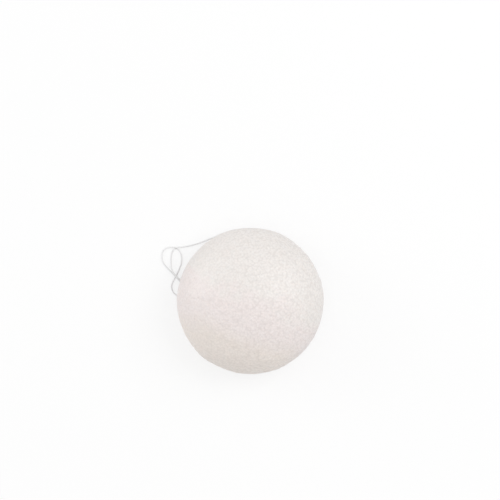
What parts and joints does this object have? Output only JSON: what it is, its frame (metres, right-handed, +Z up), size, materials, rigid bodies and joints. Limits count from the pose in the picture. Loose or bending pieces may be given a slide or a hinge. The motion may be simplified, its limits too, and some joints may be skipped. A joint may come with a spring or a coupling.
{
  "type": "konjac sponge",
  "caption": "Dome-shaped facial cleansing sponge of white konjac fibre, lying on its flat face, with a knotted loop of thin cotton string threaded under its rim.",
  "frame": {"origin": "centre of the sponge's flat face, on the surface that it lies on", "axes": "+Z up out of the crown of the dome, +Y towards the top of the picture, +X towards its right"},
  "size_m": [0.0844, 0.076, 0.038],
  "materials": {
    "konjac_fibre": "matt, finely porous, damp",
    "cotton_string": "matt, twisted"
  },
  "bodies": {
    "root": {"sponge": "konjac_fibre", "threaded_string": "cotton_string", "upper_strand": "cotton_string", "lower_strand": "cotton_string", "loop_knot": "cotton_string"}
  },
  "joints": []
}
